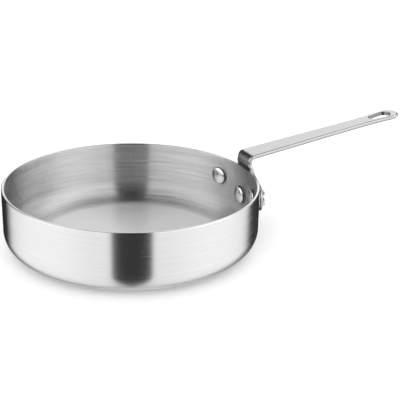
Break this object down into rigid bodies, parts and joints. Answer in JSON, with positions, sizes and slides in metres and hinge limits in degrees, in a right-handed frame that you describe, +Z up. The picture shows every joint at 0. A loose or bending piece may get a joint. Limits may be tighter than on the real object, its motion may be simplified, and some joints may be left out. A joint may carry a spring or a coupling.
{
  "type": "saute pan",
  "caption": "Round flat-based saute pan with a straight wall, a plain rim and a long flat strap handle riveted to the wall, ending in a hanging eye.",
  "frame": {"origin": "middle of the pan's base, on the surface that it stands on", "axes": "+X from the pan's axis along the handle, +Z up along the pan's axis, +Y to the left of the handle seen from the pan"},
  "size_m": [0.4188, 0.24, 0.0966],
  "materials": {
    "pan_aluminium": "satin, brushed in fine rings round the axis",
    "handle_steel": "satin plated strip, grained lengthwise, rounded edges",
    "rivet_aluminium": "smooth, bright"
  },
  "bodies": {
    "root": {"pan_body": "pan_aluminium", "handle": "handle_steel", "rivet_left": "rivet_aluminium", "rivet_right": "rivet_aluminium", "rivet_lower": "rivet_aluminium"}
  },
  "joints": []
}
